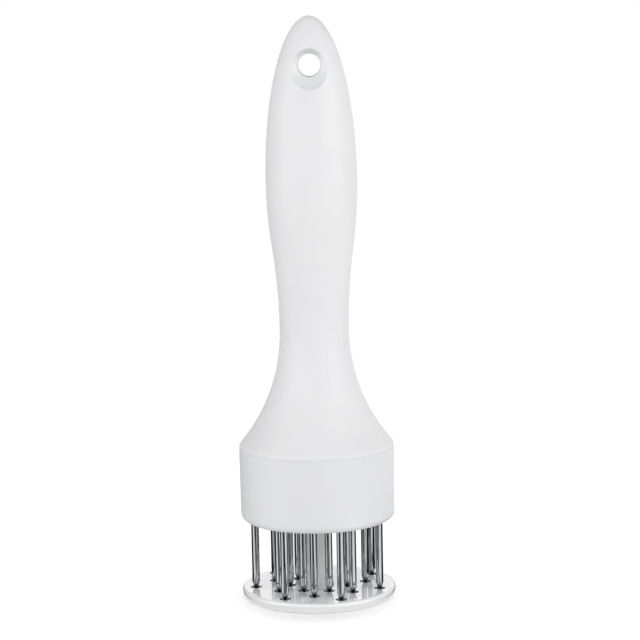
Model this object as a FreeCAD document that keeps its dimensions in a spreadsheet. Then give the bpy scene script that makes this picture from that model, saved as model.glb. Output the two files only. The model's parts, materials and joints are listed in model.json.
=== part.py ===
import FreeCAD, Part
import math
import os
import re

import Sketcher
from FreeCAD import Placement, Rotation, Vector

# A spring-guarded prong tenderizer, standing upright on its guard disc.
# Millimetres, +Z up along the tool's axis, origin at the centre of the disc's underside.
# Every height is given at rest, with the guard at the bottom of its stroke.

SIZES = [
    # The grip, waist and bell
    ("overall_height", 199.6, "underside of the guard disc to the top of the grip"),
    ("grip_radius", 15.6, "widest part of the grip"),
    ("grip_height", 144.0, "height of the widest part"),
    ("bend_height", 122.0, "height where the neck turns from hollow to swelling"),
    ("waist_radius", 11.88, "narrowest part of the neck"),
    ("waist_height", 93.0, "height of the waist"),
    ("flare_radius", 60.0, "radius of the hollow flare of the bell, in profile"),
    ("bell_radius", 26.7, "rim of the bell"),
    ("shoulder_round", 1.4, "rounding between the rim of the bell and its flare"),
    ("wall", 2.2, "wall of the half shells"),
    ("rim_round", 0.08, "rounding of the bell's rim at the seam"),
    # The hang hole
    ("hang_height", 183.1, "height of the hang hole"),
    ("hang_radius", 3.85, "hang hole"),
    ("hang_boss_radius", 5.7, "tube around the hang hole inside the shells"),
    ("dish_radius", 9.0, "ball that dishes the grip around the hang hole"),
    ("dish_depth", 7.65, "nearest distance of that ball from the tool's axis"),
    ("dish_reach", 7.9, "radius of the dish where its lip starts"),
    ("dish_lip_round", 1.5, "rounding of that lip"),
    ("dish_lip_slope", 32, "degrees by which the lip's outer part still rises"),
    ("dish_lip_run", 4.0, "reach of that outer part, past the grip's surface"),
    ("hang_round", 0.7, "rounding of the hang hole's rim"),
    # The collar
    ("seam_height", 52.4, "seam between the bell and the collar"),
    ("seam_gap", 0.02, "gap of the seam"),
    ("collar_bottom", 27.1, "lower rim of the collar"),
    ("collar_top_radius", 26.8, "collar at the seam"),
    ("collar_rim_round", 0.15, "rounding of the collar's rim at the seam"),
    ("collar_low_radius", 26.65, "collar above its rounded lower edge"),
    ("collar_round", 2.5, "rounding of the collar's lower edge"),
    ("collar_bore", 24.35, "inside of the collar"),
    ("lip_radius", 23.6, "lip inside the collar's lower rim"),
    ("skirt_radius", 24.25, "skirt of the bell inside the collar"),
    ("skirt_bore", 22.2, "inside of the skirt"),
    ("bead_height", 44.5, "middle of the snap bead round the skirt"),
    ("bead_depth", 0.4, "how far the bead stands out"),
    ("bead_width", 2.0, "width of the bead's foot"),
    ("bead_fit", 0.4, "by how much the bead's groove is wider"),
    # The prong pack
    ("carrier_bottom", 30.0, "underside of the prong carrier, on the collar's lip"),
    ("carrier_top", 34.0, "top of the carrier and underside of the clamp plate"),
    ("clamp_top", 36.2, "top of the clamp plate, under the skirt"),
    ("pack_radius", 24.2, "outside of the carrier and of the clamp plate"),
    ("guide_radius", 6.5, "outside of the boss that guides the stem"),
    ("guide_top", 42.0, "top of that boss"),
    ("guide_bore", 4.06, "bore of that boss"),
    ("guide_foot_round", 1.5, "hollow rounding where that boss meets the plate"),
    ("carrier_bore", 4.5, "hole for the stem in the carrier"),
    # The prongs
    ("prongs_per_ring", 7, "prongs in each of the three rings"),
    ("outer_ring", 22.07, "radius of the outer ring"),
    ("middle_ring", 16.28, "radius of the middle ring"),
    ("inner_ring", 10.2, "radius of the inner ring"),
    ("ring_turn", 18.9, "degrees from the X axis to the first outer and inner prong, clockwise from above"),
    ("middle_turn", 44.61, "the same for the middle ring, half a step further on"),
    ("prong_radius", 1.325, "round shank of a prong"),
    ("prong_tip", 1.4, "height of a prong's tip"),
    ("point_length", 3.8, "ground point of a prong"),
    ("head_radius", 1.85, "head of a prong"),
    ("head_depth", 0.8, "thickness of that head"),
    ("prong_fit", 0.03, "play of a shank in the carrier, all round"),
    # The screws of the prong pack
    ("screw_circle", 17.6, "radius on which the three screws stand"),
    ("screw_radius", 1.4, "shank of a screw"),
    ("screw_head", 2.6, "radius of a screw's head"),
    ("screw_head_depth", 1.7, "height of a screw's head"),
    ("screw_length", 5.0, "shank of a screw below its head"),
    ("screw_fit", 0.02, "play of a screw in the wall that holds it, all round"),
    ("screw_clearance", 0.2, "play of a screw in the plate under its head, all round"),
    ("screw_floor", 0.8, "wall left under a screw hole of the carrier"),
    ("screw_point", 0.8, "length of the tapered point of a screw"),
    ("screw_taper", 0.6, "end of that point, as a share of the shank"),
    ("screw_side", 0.4, "upright side of a screw's head, as a share of its height"),
    ("screw_flat", 0.55, "flat top of a screw's head, as a share of its radius"),
    ("slot_reach", 1.4, "cross recess from end to end, as a share of the head's radius"),
    ("slot_share", 0.333, "width and depth of that recess, as a share of the head's radius"),
    # The guard
    ("disc_radius", 26.65, "guard disc"),
    ("disc_depth", 3.2, "thickness of the guard disc"),
    ("disc_low_round", 0.6, "rounding of the disc's lower edge"),
    ("disc_top_round", 1.1, "rounding of the disc's upper edge"),
    ("prong_hole", 1.95, "holes of the guard disc"),
    ("socket_radius", 3.05, "socket of the stem in the disc"),
    ("socket_floor", 1.2, "floor of that socket"),
    ("stem_radius", 4.0, "sliding post"),
    ("stem_foot_radius", 3.0, "foot of the post in the socket"),
    ("stem_flange_radius", 5.2, "flange of the post on the disc"),
    ("stem_flange_depth", 0.8, "upright edge of that flange"),
    ("stem_chamfer", 0.4, "chamfer on the post's top"),
    ("stem_hole_floor", 31.0, "floor of the screw hole in the post"),
    ("washer_radius", 6.2, "stop washer on the post"),
    ("washer_bore", 1.6, "hole of the stop washer"),
    ("washer_depth", 1.0, "thickness of the stop washer"),
    ("stop_head", 3.2, "radius of the stop screw's head"),
    ("stop_head_depth", 2.2, "height of the stop screw's head"),
    ("stop_length", 11.0, "shank of the stop screw below its head"),
    # The return spring and its seat
    ("coil_radius", 5.0, "middle of the spring's wire"),
    ("wire_radius", 0.45, "wire of the spring"),
    ("coil_turns", 13, "turns of the spring"),
    ("coil_gap", 0.05, "play at each end of the spring"),
    ("ledge_height", 92.0, "underside of the ledge in the waist"),
    ("ledge_depth", 2.5, "thickness of the ledge"),
    ("ledge_bore", 5.5, "hole of the ledge"),
    ("seat_radius", 9.2, "spring seat"),
    ("seat_depth", 1.2, "thickness of the spring seat"),
    ("seat_nose_radius", 4.3, "nose of the seat inside the spring"),
    ("seat_nose_length", 3.0, "length of that nose"),
    ("seat_nose_chamfer", 0.8, "chamfer on that nose"),
    ("rib_depth", 1.5, "thickness of the stiffening ribs"),
    ("rib_bore", 9.0, "hole of the stiffening ribs"),
    ("low_rib_height", 124.0, "underside of the lower rib"),
    ("low_rib_radius", 13.5, "outside of the lower rib, buried in the wall"),
    ("high_rib_height", 158.0, "underside of the upper rib"),
    # The pegs that line the half shells up
    ("peg_radius", 1.2, "peg of the front shell"),
    ("peg_length", 2.8, "how far a peg stands out of the parting face"),
    ("peg_fit", 0.05, "play of a peg in its socket, all round"),
    ("socket_depth", 3.0, "depth of a peg's socket in the rear shell"),
    ("peg_boss_radius", 2.3, "boss around a peg or a socket"),
    ("peg_boss_depth", 3.8, "depth of that boss from the parting face"),
    ("bell_peg_height", 60.0, "pegs in the bell"),
    ("bell_peg_reach", 18.0, "distance of those pegs from the axis"),
    ("neck_peg_height", 110.0, "pegs in the neck"),
    ("neck_peg_reach", 9.4, "distance of those pegs from the axis"),
    ("grip_peg_height", 168.0, "pegs in the grip"),
    ("grip_peg_reach", 10.6, "distance of those pegs from the axis"),
]

NAMES = re.compile(r"\b(" + "|".join(row[0] for row in SIZES) + r")\b")

# Shared formulas, in the sheet's names
NECK_TURN = "2 * atan((grip_radius - waist_radius) / (grip_height - waist_height))"
HOLLOW_RADIUS = f"(bend_height - waist_height) / sin({NECK_TURN})"
SWELL_RADIUS = f"(grip_height - bend_height) / sin({NECK_TURN})"
BEND_RADIUS = f"waist_radius + {HOLLOW_RADIUS} * (1 - cos({NECK_TURN}))"
FLARE_CENTRE = "waist_radius + flare_radius"
SHOULDER_TURN = f"acos(({FLARE_CENTRE} - bell_radius + shoulder_round) / (flare_radius + shoulder_round))"
STEP = "360 / prongs_per_ring"

doc = FreeCAD.newDocument("tenderizer")
sheet = doc.addObject("Spreadsheet::Sheet", "Sizes")
for row, (alias, value, meaning) in enumerate(SIZES, start=1):
    sheet.set(f"A{row}", meaning)
    sheet.set(f"B{row}", str(value))
    sheet.setAlias(f"B{row}", alias)
doc.recompute()


def in_sheet(formula):
    """Point every size named in a formula at its cell."""
    return NAMES.sub(r"Sizes.\1", formula)


def size(formula):
    """Work a formula out as a plain number."""
    value = sheet.evalExpression(in_sheet(formula))
    return float(getattr(value, "Value", value))


def bind(item, prop, formula):
    """Bind one property to a formula in the sheet's names."""
    item.setExpression(prop, in_sheet(formula))


# ---------------------------------------------------------------- outlines


def pin_point(sketch, geometry, point, across, along):
    """Hold one point of a sketch at two formulas; None leaves a direction free."""
    for kind, axis, formula in (("DistanceX", -2, across), ("DistanceY", -1, along)):
        if formula is None:
            continue
        if formula == "0":
            sketch.addConstraint(Sketcher.Constraint("PointOnObject", geometry, point, axis))
            continue
        index = sketch.addConstraint(Sketcher.Constraint(kind, -1, 1, geometry, point, size(formula)))
        name = f"{kind[-1].lower()}_{geometry}_{point}"
        sketch.renameConstraint(index, name)
        bind(sketch, f"Constraints.{name}", formula)


def add_arc(sketch, start, end, radius, side):
    """Add the short arc between two points, with its centre left or right of the way between them."""
    chord = end - start
    lift = math.sqrt(radius ** 2 - (chord.Length / 2) ** 2)
    normal = Vector(-chord.y, chord.x, 0).normalize() * (1 if side == "left" else -1)
    centre = (start + end) / 2 + normal * lift
    first, last = (start, end) if side == "left" else (end, start)
    turn_start = math.atan2(first.y - centre.y, first.x - centre.x)
    turn_end = math.atan2(last.y - centre.y, last.x - centre.x)
    if turn_end < turn_start:
        turn_end += 2 * math.pi
    circle = Part.Circle(centre, Vector(0, 0, 1), radius)
    geometry = sketch.addGeometry(Part.ArcOfCircle(circle, turn_start, turn_end), False)
    return geometry, (1, 2) if side == "left" else (2, 1)


def add_dome(sketch, start, end):
    """Add the quarter ellipse from its side point to its top point on the axis."""
    centre = Vector(end.x, start.y, 0)
    ellipse = Part.Ellipse(end, Vector(-start.x, start.y, 0), centre)
    geometry = sketch.addGeometry(Part.ArcOfEllipse(ellipse, -math.pi / 2, 0), False)
    return geometry, (1, 2)


def size_dome(sketch, geometry, across, base, top):
    """Size a dome's ellipse by its two axes."""
    before = len(sketch.Geometry)
    sketch.exposeInternalGeometry(geometry)
    pin_point(sketch, geometry, 3, "0", base)
    for axis in range(before, len(sketch.Geometry)):
        line = sketch.Geometry[axis]
        if not isinstance(line, Part.LineSegment):
            continue
        upright = abs(line.EndPoint.x - line.StartPoint.x) < abs(line.EndPoint.y - line.StartPoint.y)
        if upright:
            sketch.addConstraint(Sketcher.Constraint("Vertical", axis))
            high = 2 if line.EndPoint.y > line.StartPoint.y else 1
            pin_point(sketch, axis, high, None, top)
        else:
            wide = 2 if line.EndPoint.x > line.StartPoint.x else 1
            pin_point(sketch, axis, wide, across, None)


def outline(sketch, corners):
    """Draw a closed outline in a sketch.

    Each corner is (across, along, way): two formulas, and the way on to the next corner, which is
    "line", ("left" or "right", radius) for an arc by the side of its centre, or "dome".
    """
    points = [Vector(size(across), size(along), 0) for across, along, way in corners]
    pieces = []
    for index, (across, along, way) in enumerate(corners):
        start = points[index]
        end = points[(index + 1) % len(points)]
        if way == "line":
            piece = sketch.addGeometry(Part.LineSegment(start, end), False), (1, 2)
        elif way == "dome":
            piece = add_dome(sketch, start, end)
        else:
            piece = add_arc(sketch, start, end, size(way[1]), way[0])
        pieces.append(piece)
    for index, (across, along, way) in enumerate(corners):
        geometry, ends = pieces[index]
        last, last_ends = pieces[index - 1]
        sketch.addConstraint(Sketcher.Constraint("Coincident", last, last_ends[1], geometry, ends[0]))
        if way == "dome":
            pin_point(sketch, geometry, ends[0], None, along)
        elif corners[index - 1][2] == "dome":
            pin_point(sketch, geometry, ends[0], across, None)
        else:
            pin_point(sketch, geometry, ends[0], across, along)
        if way not in ("line", "dome"):
            number = sketch.addConstraint(Sketcher.Constraint("Radius", geometry, size(way[1])))
            sketch.renameConstraint(number, f"radius_{geometry}")
            bind(sketch, f"Constraints.radius_{geometry}", way[1])
    for index, (across, along, way) in enumerate(corners):
        if way == "dome":
            size_dome(sketch, pieces[index][0], across, along, corners[(index + 1) % len(corners)][1])


def origin_plane(body, role):
    """One of a body's own origin planes."""
    return next(item for item in body.Origin.OriginFeatures if item.Role == role)


def body_sketch(body, name, role="XZ_Plane"):
    """A sketch on one of a body's origin planes."""
    sketch = body.newObject("Sketcher::SketchObject", name)
    sketch.AttachmentSupport = [(origin_plane(body, role), "")]
    sketch.MapMode = "FlatFace"
    return sketch


def turned_body(label, corners):
    """A body turned about the tool's axis from its outline, across by along."""
    body = doc.addObject("PartDesign::Body", label)
    body.Label = label
    sketch = body_sketch(body, f"{label}_outline")
    outline(sketch, corners)
    turn = body.newObject("PartDesign::Revolution", f"{label}_turned")
    turn.Profile = sketch
    turn.ReferenceAxis = (sketch, ["V_Axis"])
    turn.Angle = 360
    sketch.Visibility = False
    return body


def turned_solid(name, corners):
    """A solid turned about the tool's axis, to be combined with others."""
    sketch = doc.addObject("Sketcher::SketchObject", f"{name}_outline")
    sketch.Placement = Placement(Vector(), Rotation(Vector(1, 0, 0), 90))
    outline(sketch, corners)
    turn = doc.addObject("Part::Revolution", name)
    turn.Source = sketch
    turn.Base = Vector(0, 0, 0)
    turn.Axis = Vector(0, 0, 1)
    turn.Angle = 360
    turn.Solid = True
    return turn


def primitive(kind, name, sizes, placement=Placement()):
    """A Part primitive whose sizes are formulas."""
    item = doc.addObject(kind, name)
    for prop, formula in sizes.items():
        bind(item, prop, formula)
    item.Placement = placement
    return item


def combined(kind, name, base, tool):
    """Cut or common of two solids."""
    item = doc.addObject(kind, name)
    item.Base = base
    item.Tool = tool
    return item


def fused(name, shapes):
    """Union of several solids."""
    item = doc.addObject("Part::MultiFuse", name)
    item.Shapes = shapes
    return item


# ---------------------------------------------------------------- the two half shells of the handle


def handle_outline(inset, lower_corners):
    """Profile of the grip from the bell to the top, drawn in by a wall's thickness."""
    return lower_corners + [
        (f"waist_radius - {inset}", "waist_height", ("right", f"{HOLLOW_RADIUS} + {inset}")),
        (f"{BEND_RADIUS} - {inset} * cos({NECK_TURN})", f"bend_height + {inset} * sin({NECK_TURN})",
         ("left", f"{SWELL_RADIUS} - {inset}")),
        (f"grip_radius - {inset}", "grip_height", "dome"),
        ("0", f"overall_height - {inset}", "line"),
    ]


def bead_corners(radius, depth, width):
    """Corners of a snap bead, or of its groove, on a wall that runs upwards."""
    return [
        (radius, f"bead_height - {width} / 2", "line"),
        (f"{radius} + {depth}", f"bead_height - {width} / 5", "line"),
        (f"{radius} + {depth}", f"bead_height + {width} / 5", "line"),
        (radius, f"bead_height + {width} / 2", "line"),
    ]


def outer_corners():
    """The solid bell and skirt, from the axis out to the start of the flare."""
    return [
        ("0", "clamp_top", "line"),
        ("skirt_radius", "clamp_top", "line"),
    ] + bead_corners("skirt_radius", "bead_depth", "bead_width") + [
        ("skirt_radius", "seam_height", "line"),
        ("bell_radius - rim_round", "seam_height", ("left", "rim_round")),
        ("bell_radius", "seam_height + rim_round", "line"),
        ("bell_radius", f"waist_height - (flare_radius + shoulder_round) * sin({SHOULDER_TURN})",
         ("left", "shoulder_round")),
        (f"{FLARE_CENTRE} - flare_radius * cos({SHOULDER_TURN})",
         f"waist_height - flare_radius * sin({SHOULDER_TURN})", ("right", "flare_radius")),
    ]


def inner_corners():
    """The hollow of the bell and skirt; it starts below the skirt to leave it open."""
    inner_rise = f"waist_height - sqrt((flare_radius + wall)^2 - ({FLARE_CENTRE} - skirt_bore)^2)"
    return [
        ("0", "clamp_top - wall", "line"),
        ("skirt_bore", "clamp_top - wall", "line"),
        ("skirt_bore", inner_rise, ("right", "flare_radius + wall")),
    ]


def ring(name, bore, outside, bottom, depth):
    """A flat ring about the tool's axis."""
    return turned_solid(name, [
        (bore, bottom, "line"),
        (outside, bottom, "line"),
        (outside, f"{bottom} + {depth}", "line"),
        (bore, f"{bottom} + {depth}", "line"),
    ])


def rod_along_y(name, radius, across, height, start, end):
    """A round rod parallel to Y, from one depth to another."""
    return primitive("Part::Cylinder", name, {
        "Radius": radius,
        "Height": f"({end}) - ({start})",
        "Placement.Base.x": across,
        "Placement.Base.y": start,
        "Placement.Base.z": height,
    }, Placement(Vector(), Rotation(Vector(1, 0, 0), -90)))


def make_handle():
    """Two half shells, front and rear, that meet on the tool's XZ plane."""
    outer = turned_solid("handle_outer", handle_outline("0", outer_corners()))
    hollow = turned_solid("handle_hollow", handle_outline("wall", inner_corners()))
    boss = rod_along_y("hang_boss", "hang_boss_radius", "0", "hang_height", "-grip_radius", "grip_radius")
    ledge = ring("spring_ledge", "ledge_bore", "waist_radius - wall / 2", "ledge_height", "ledge_depth")
    low_rib = ring("low_rib", "rib_bore", "low_rib_radius", "low_rib_height", "rib_depth")
    high_rib = ring("high_rib", "rib_bore", "grip_radius - wall / 2", "high_rib_height", "rib_depth")
    peg_bosses = rods_at_pegs("peg_boss", "peg_boss_radius", "-peg_boss_depth", "peg_boss_depth")
    dish_backs = [make_dish_back("front", "-1"), make_dish_back("rear", "1")]
    kept = fused("handle_inside", [boss, ledge, low_rib, high_rib] + dish_backs + peg_bosses)
    void = combined("Part::Cut", "handle_void", hollow, kept)
    shell = combined("Part::Cut", "handle_shell", outer, void)
    hole = rod_along_y("hang_hole", "hang_radius", "0", "hang_height", "-grip_radius", "grip_radius")
    dishes = [make_dish("front", 90), make_dish("rear", -90)]
    pierced = combined("Part::Cut", "handle_pierced", shell, fused("hang_cutters", [hole] + dishes))
    doc.recompute()
    rounded = doc.addObject("Part::Fillet", "handle_rounded")
    rounded.Base = pierced
    rounded.Edges = [(number, size("hang_round"), size("hang_round")) for number in hang_rims(pierced.Shape)]
    pegs = rods_at_pegs("peg", "peg_radius", "-peg_length / 2", "peg_length")
    sockets = rods_at_pegs("socket", "peg_radius + peg_fit", "-peg_length / 2", "socket_depth")
    front = half_of(rounded, "front", "-2 * bell_radius")
    rear = half_of(rounded, "rear", "0")
    fused("handle_front", [front] + pegs).Label = "handle_front"
    combined("Part::Cut", "handle_rear", rear, fused("peg_sockets", sockets)).Label = "handle_rear"


def peg_places():
    """Across and height of each peg, as formulas: a pair in the bell, the neck and the grip."""
    return [(f"{side} * {part}_peg_reach", f"{part}_peg_height") for part in ("bell", "neck", "grip")
            for side in ("-1", "1")]


def rods_at_pegs(name, radius, start, end):
    """A rod parallel to Y at the place of every peg."""
    return [rod_along_y(f"{name}_{number}", radius, across, height, start, end)
            for number, (across, height) in enumerate(peg_places(), start=1)]


def half_of(handle, side, low):
    """The half of the handle on one side of the parting plane."""
    room = primitive("Part::Box", f"{side}_side", {
        "Length": "4 * bell_radius",
        "Width": "2 * bell_radius",
        "Height": "overall_height",
        "Placement.Base.x": "-2 * bell_radius",
        "Placement.Base.y": low,
    })
    return combined("Part::Common", f"{side}_half", handle, room)


def make_dish(side, tilt):
    """Cutter for the soft-edged dish around the hang hole on one side of the grip."""
    rise = "asin(dish_reach / dish_radius)"
    slope = "dish_lip_slope * 1 deg"
    lip_depth = f"dish_depth + dish_radius * (1 - cos({rise}))"
    end_reach = f"dish_reach + dish_lip_round * (sin({rise}) - sin({slope}))"
    end_depth = f"{lip_depth} + dish_lip_round * (cos({slope}) - cos({rise}))"
    dish = turned_solid(f"hang_dish_{side}", [
        ("0", "dish_depth", ("left", "dish_radius")),
        ("dish_reach", lip_depth, ("right", "dish_lip_round")),
        (end_reach, end_depth, "line"),
        (f"{end_reach} + dish_lip_run", f"{end_depth} + dish_lip_run * tan({slope})", "line"),
        (f"{end_reach} + dish_lip_run", "2 * grip_radius", "line"),
        ("0", "2 * grip_radius", "line"),
    ])
    dish.Placement = Placement(Vector(), Rotation(Vector(1, 0, 0), tilt))
    bind(dish, "Placement.Base.z", "hang_height")
    return dish


def make_dish_back(side, turn):
    """Ball behind a dish, which keeps the shell's wall as thick there as elsewhere."""
    return primitive("Part::Sphere", f"dish_back_{side}", {
        "Radius": "dish_radius + wall",
        "Placement.Base.y": f"{turn} * (dish_depth + dish_radius)",
        "Placement.Base.z": "hang_height",
    })


def hang_rims(shape):
    """Numbers of the two round edges where the hang hole meets its dishes."""
    found = []
    for number, edge in enumerate(shape.Edges, start=1):
        if edge.Degenerated:
            continue
        round_edge = isinstance(edge.Curve, Part.Circle)
        if round_edge and abs(edge.Curve.Radius - size("hang_radius")) < 1e-4:
            found.append(number)
    return found


# ---------------------------------------------------------------- the collar and the prong pack


def make_collar():
    """Ring with a lip inside its lower rim, pushed over the bell's skirt."""
    top = "seam_height - seam_gap"
    turned_body("collar", [
        ("lip_radius", "collar_bottom", "line"),
        ("collar_low_radius - collar_round", "collar_bottom", ("left", "collar_round")),
        ("collar_low_radius", "collar_bottom + collar_round", "line"),
        ("collar_top_radius", f"{top} - collar_rim_round", ("left", "collar_rim_round")),
        ("collar_top_radius - collar_rim_round", top, "line"),
        ("collar_bore", top, "line"),
    ] + bead_corners("collar_bore", "bead_depth", "bead_width + bead_fit")[::-1] + [
        ("collar_bore", "carrier_bottom", "line"),
        ("lip_radius", "carrier_bottom", "line"),
    ])


def ring_places():
    """Name of each ring of prongs, with the sizes that hold its radius and its first angle."""
    return (
        ("outer", "outer_ring", "ring_turn"),
        ("middle", "middle_ring", "middle_turn"),
        ("inner", "inner_ring", "ring_turn"),
    )


def pierce_rings(body, name, radius, depth=None, plane_height="0"):
    """Cut one round hole of each ring into a body and repeat it round the axis."""
    sketch = body_sketch(body, f"{name}_circles", "XY_Plane")
    bind(sketch, "AttachmentOffset.Base.z", plane_height)
    for label, ring_radius, turn in ring_places():
        across = f"{ring_radius} * cos({turn} * 1 deg)"
        along = f"-{ring_radius} * sin({turn} * 1 deg)"
        centre = Vector(size(across), size(along), 0)
        circle = sketch.addGeometry(Part.Circle(centre, Vector(0, 0, 1), size(radius)), False)
        pin_point(sketch, circle, 3, across, along)
        number = sketch.addConstraint(Sketcher.Constraint("Radius", circle, size(radius)))
        sketch.renameConstraint(number, f"radius_{circle}")
        bind(sketch, f"Constraints.radius_{circle}", radius)
    pocket = body.newObject("PartDesign::Pocket", f"{name}_holes")
    pocket.Profile = sketch
    pocket.Midplane = depth is None
    pocket.Type = 0
    bind(pocket, "Length", depth or "2 * overall_height")
    doc.recompute()
    pattern = body.newObject("PartDesign::PolarPattern", f"{name}_pattern")
    pattern.Originals = [pocket]
    pattern.Axis = (sketch, ["N_Axis"])
    pattern.Angle = 360
    bind(pattern, "Occurrences", "prongs_per_ring")
    body.Tip = pattern
    sketch.Visibility = False
    doc.recompute()


def screw_steps():
    """The three places of the ring pattern that hold a screw, as evenly as seven allow."""
    return (0, 2, 5)


def pierce_screws(body, name, radius, depth, plane_height):
    """Cut the three screw holes into a body from a plane downwards."""
    sketch = body_sketch(body, f"{name}_circles", "XY_Plane")
    bind(sketch, "AttachmentOffset.Base.z", plane_height)
    for step in screw_steps():
        angle = f"(ring_turn + {step} * {STEP}) * 1 deg"
        across = f"screw_circle * cos({angle})"
        along = f"-screw_circle * sin({angle})"
        centre = Vector(size(across), size(along), 0)
        circle = sketch.addGeometry(Part.Circle(centre, Vector(0, 0, 1), size(radius)), False)
        pin_point(sketch, circle, 3, across, along)
        number = sketch.addConstraint(Sketcher.Constraint("Radius", circle, size(radius)))
        sketch.renameConstraint(number, f"radius_{circle}")
        bind(sketch, f"Constraints.radius_{circle}", radius)
    pocket = body.newObject("PartDesign::Pocket", f"{name}_holes")
    pocket.Profile = sketch
    pocket.Type = 0
    bind(pocket, "Length", depth)
    sketch.Visibility = False
    doc.recompute()


def make_carrier():
    """Disc on the collar's lip that carries every prong by its head."""
    body = turned_body("prong_carrier", [
        ("carrier_bore", "carrier_bottom", "line"),
        ("pack_radius", "carrier_bottom", "line"),
        ("pack_radius", "carrier_top", "line"),
        ("carrier_bore", "carrier_top", "line"),
    ])
    pierce_rings(body, "carrier_shank", "prong_radius + prong_fit")
    pierce_rings(body, "carrier_head", "head_radius + prong_fit", "head_depth", "carrier_top")
    depth = "carrier_top - carrier_bottom - screw_floor"
    pierce_screws(body, "carrier_screw", "screw_radius + screw_fit", depth, "carrier_top")


def make_clamp():
    """Plate that traps the prong heads, with the boss that guides the stem."""
    body = turned_body("prong_clamp", [
        ("guide_bore", "carrier_top", "line"),
        ("pack_radius", "carrier_top", "line"),
        ("pack_radius", "clamp_top", "line"),
        ("guide_radius + guide_foot_round", "clamp_top", ("right", "guide_foot_round")),
        ("guide_radius", "clamp_top + guide_foot_round", "line"),
        ("guide_radius", "guide_top", "line"),
        ("guide_bore", "guide_top", "line"),
    ])
    depth = "clamp_top - carrier_top"
    pierce_screws(body, "clamp_screw", "screw_radius + screw_clearance", depth, "clamp_top")


def make_prongs():
    """Three rings of round prongs with ground points and flat heads."""
    neck = "carrier_top - head_depth"
    for label, ring_radius, turn in ring_places():
        for number in range(1, int(size("prongs_per_ring")) + 1):
            body = turned_body(f"prong_{label}_{number}", [
                ("0", "prong_tip", "line"),
                ("prong_radius", "prong_tip + point_length", "line"),
                ("prong_radius", neck, "line"),
                ("head_radius", neck, "line"),
                ("head_radius", "carrier_top", "line"),
                ("0", "carrier_top", "line"),
            ])
            angle = f"({turn} + {number - 1} * {STEP}) * 1 deg"
            bind(body, "Placement.Base.x", f"{ring_radius} * cos({angle})")
            bind(body, "Placement.Base.y", f"-{ring_radius} * sin({angle})")


def cross_slots(name, top, reach):
    """Cross recess of a screw, sunk from its top."""
    long_side = f"{reach} * slot_reach"
    narrow_side = f"{reach} * slot_share"
    sides = (long_side, narrow_side), (narrow_side, long_side)
    bars = [
        primitive("Part::Box", f"{name}_slot_{number}", {
            "Length": length,
            "Width": width,
            "Height": reach,
            "Placement.Base.x": f"-{length} / 2",
            "Placement.Base.y": f"-{width} / 2",
            "Placement.Base.z": f"{top} - {narrow_side}",
        })
        for number, (length, width) in enumerate(sides, start=1)
    ]
    return fused(f"{name}_slots", bars)


def make_screw(name, seat, head, head_depth, length):
    """A pan-head screw on the tool's axis, with its head on the seat's height."""
    turned = turned_solid(f"{name}_turned", [
        ("0", f"{seat} - {length}", "line"),
        ("screw_radius * screw_taper", f"{seat} - {length}", "line"),
        ("screw_radius", f"{seat} - {length} + screw_point", "line"),
        ("screw_radius", seat, "line"),
        (head, seat, "line"),
        (head, f"{seat} + {head_depth} * screw_side", ("left", head_depth)),
        (f"{head} * screw_flat", f"{seat} + {head_depth}", "line"),
        ("0", f"{seat} + {head_depth}", "line"),
    ])
    return combined("Part::Cut", name, turned, cross_slots(name, f"{seat} + {head_depth}", head))


def make_carrier_screws():
    """Three identical screws, grouped, that close the prong pack."""
    screws = []
    for number, step in enumerate(screw_steps(), start=1):
        name = f"carrier_screw_{number}"
        screw = make_screw(name, "clamp_top", "screw_head", "screw_head_depth", "screw_length")
        angle = f"(ring_turn + {step} * {STEP}) * 1 deg"
        bind(screw, "Placement.Base.x", f"screw_circle * cos({angle})")
        bind(screw, "Placement.Base.y", f"-screw_circle * sin({angle})")
        screws.append(screw)
    group = doc.addObject("Part::Compound", "carrier_screws")
    group.Label = "carrier_screws"
    group.Links = screws


# ---------------------------------------------------------------- the guard


def make_guard():
    """Disc that the tool stands on, with a hole for every prong and a socket for the stem."""
    body = turned_body("guard_disc", [
        ("0", "0", "line"),
        ("disc_radius - disc_low_round", "0", ("left", "disc_low_round")),
        ("disc_radius", "disc_low_round", "line"),
        ("disc_radius", "disc_depth - disc_top_round", ("left", "disc_top_round")),
        ("disc_radius - disc_top_round", "disc_depth", "line"),
        ("socket_radius", "disc_depth", "line"),
        ("socket_radius", "socket_floor", "line"),
        ("0", "socket_floor", "line"),
    ])
    pierce_rings(body, "guard_prong", "prong_hole")


def make_stem():
    """Post that slides in the guide, with a foot in the disc's socket and a screw hole in its top."""
    edge_top = "disc_depth + stem_flange_depth"
    turned_body("guard_stem", [
        ("0", "socket_floor", "line"),
        ("stem_foot_radius", "socket_floor", "line"),
        ("stem_foot_radius", "disc_depth", "line"),
        ("stem_flange_radius", "disc_depth", "line"),
        ("stem_flange_radius", edge_top, ("right", "stem_flange_radius - stem_radius")),
        ("stem_radius", f"{edge_top} + stem_flange_radius - stem_radius", "line"),
        ("stem_radius", "guide_top - stem_chamfer", "line"),
        ("stem_radius - stem_chamfer", "guide_top", "line"),
        ("screw_radius + screw_fit", "guide_top", "line"),
        ("screw_radius + screw_fit", "stem_hole_floor", "line"),
        ("0", "stem_hole_floor", "line"),
    ])


def make_stop():
    """Washer and screw on the stem's top, which land on the guide boss."""
    turned_body("stem_washer", [
        ("washer_bore", "guide_top", "line"),
        ("washer_radius", "guide_top", "line"),
        ("washer_radius", "guide_top + washer_depth", "line"),
        ("washer_bore", "guide_top + washer_depth", "line"),
    ])
    seat = "guide_top + washer_depth"
    make_screw("stem_screw", seat, "stop_head", "stop_head_depth", "stop_length").Label = "stem_screw"


# ---------------------------------------------------------------- the return spring


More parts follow.
